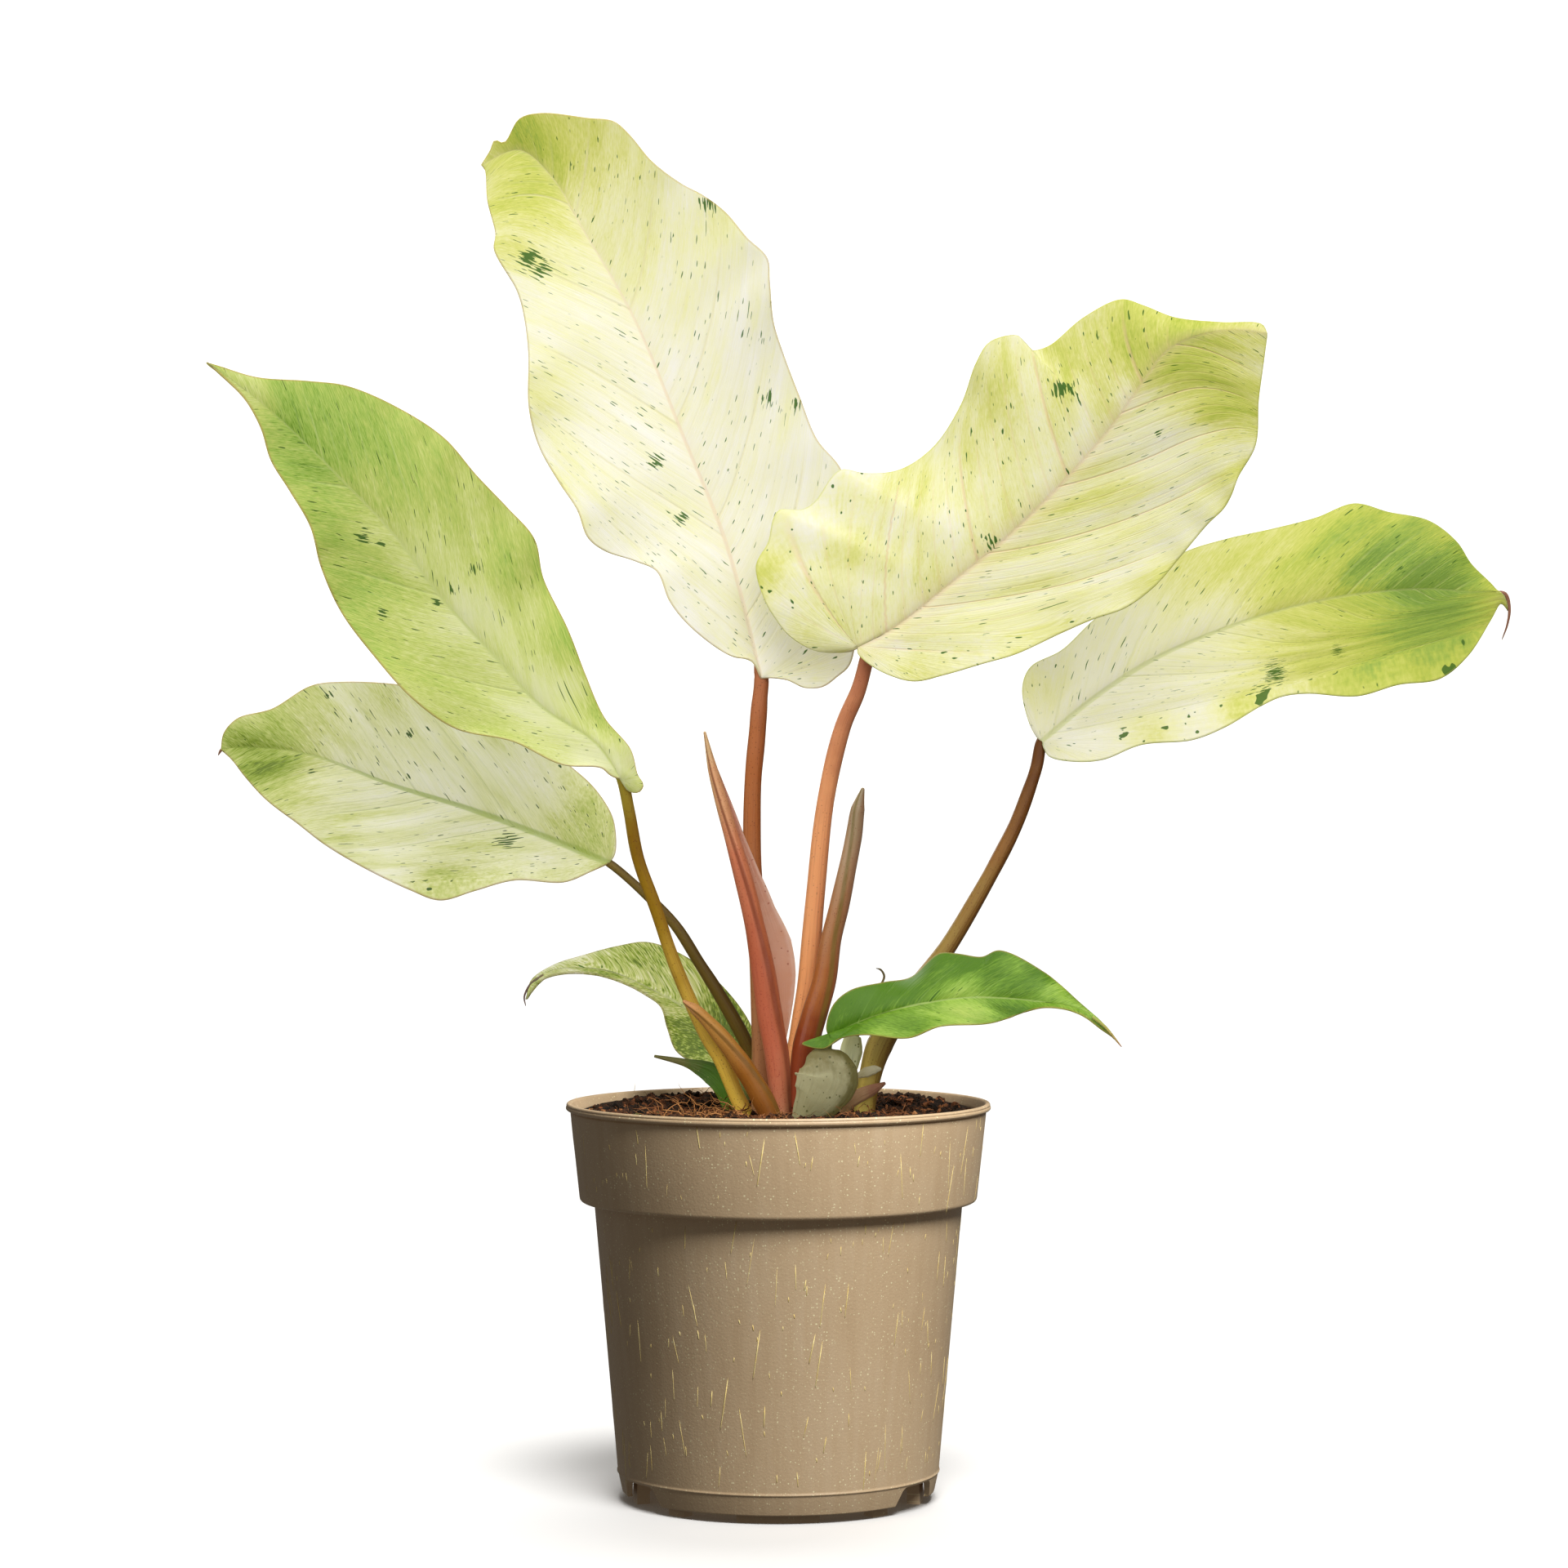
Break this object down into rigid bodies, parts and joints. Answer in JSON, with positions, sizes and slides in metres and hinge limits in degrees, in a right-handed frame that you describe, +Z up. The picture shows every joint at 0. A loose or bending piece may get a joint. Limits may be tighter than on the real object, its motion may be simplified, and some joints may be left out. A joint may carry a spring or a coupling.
{
  "type": "potted snowdrift philodendron",
  "caption": "Potted aroid house plant: long pale leaves streaked with green on reddish stalks, with rolled new leaves, in a round nursery pot of soil.",
  "frame": {"origin": "middle of the underside of the pot's centre pad, on the surface that the pot stands on", "axes": "+Z up along the pot's axis; the plant's leaves fan out along X, with the tall leaf's top to -X and the far right leaf to +X; -Y is the front, which the leaves' upper faces turn to"},
  "size_m": [0.3764, 0.12, 0.3983],
  "materials": {
    "pot_plastic": "satin",
    "potting_soil": "matte",
    "buried_stem": "matte",
    "leaf_cream": "satin",
    "leaf_yellow": "satin",
    "leaf_lime": "satin",
    "leaf_fresh_green": "satin",
    "leaf_grey_green": "satin",
    "leaf_mottled": "satin",
    "leaf_glossy_green": "gloss",
    "leaf_pale": "satin",
    "leaf_dark": "satin",
    "stalk_brown_red": "satin",
    "stalk_salmon": "satin",
    "stalk_brown_olive": "satin",
    "stalk_olive_yellow": "satin",
    "stalk_dark_olive": "satin",
    "stalk_green": "satin",
    "spear_red": "satin",
    "spear_brown": "satin",
    "sheath_orange": "satin",
    "sheath_pink": "gloss",
    "sheath_brown": "matte",
    "sheath_papery": "satin"
  },
  "bodies": {
    "root": {"pot": "pot_plastic", "soil": "potting_soil", "crown": "buried_stem", "leaf_tall": "leaf_cream", "leaf_broad": "leaf_yellow", "leaf_right": "leaf_lime", "leaf_left_upper": "leaf_fresh_green", "leaf_left_lower": "leaf_grey_green", "leaf_drooping": "leaf_mottled", "leaf_low_right": "leaf_glossy_green", "leaf_base_pale": "leaf_pale", "leaf_base_dark": "leaf_dark", "stem_tall": "stalk_brown_red", "stem_broad": "stalk_salmon", "stem_right": "stalk_brown_olive", "stem_left_upper": "stalk_olive_yellow", "stem_left_lower": "stalk_dark_olive", "stem_drooping": "stalk_green", "stem_low_right": "stalk_green", "spear_left": "spear_red", "spear_left_wing": "sheath_pink", "spear_right": "spear_brown", "sheath_orange": "sheath_orange", "sheath_dry": "sheath_brown", "sheath_flap": "sheath_papery", "sheath_pale": "leaf_pale"}
  },
  "joints": []
}
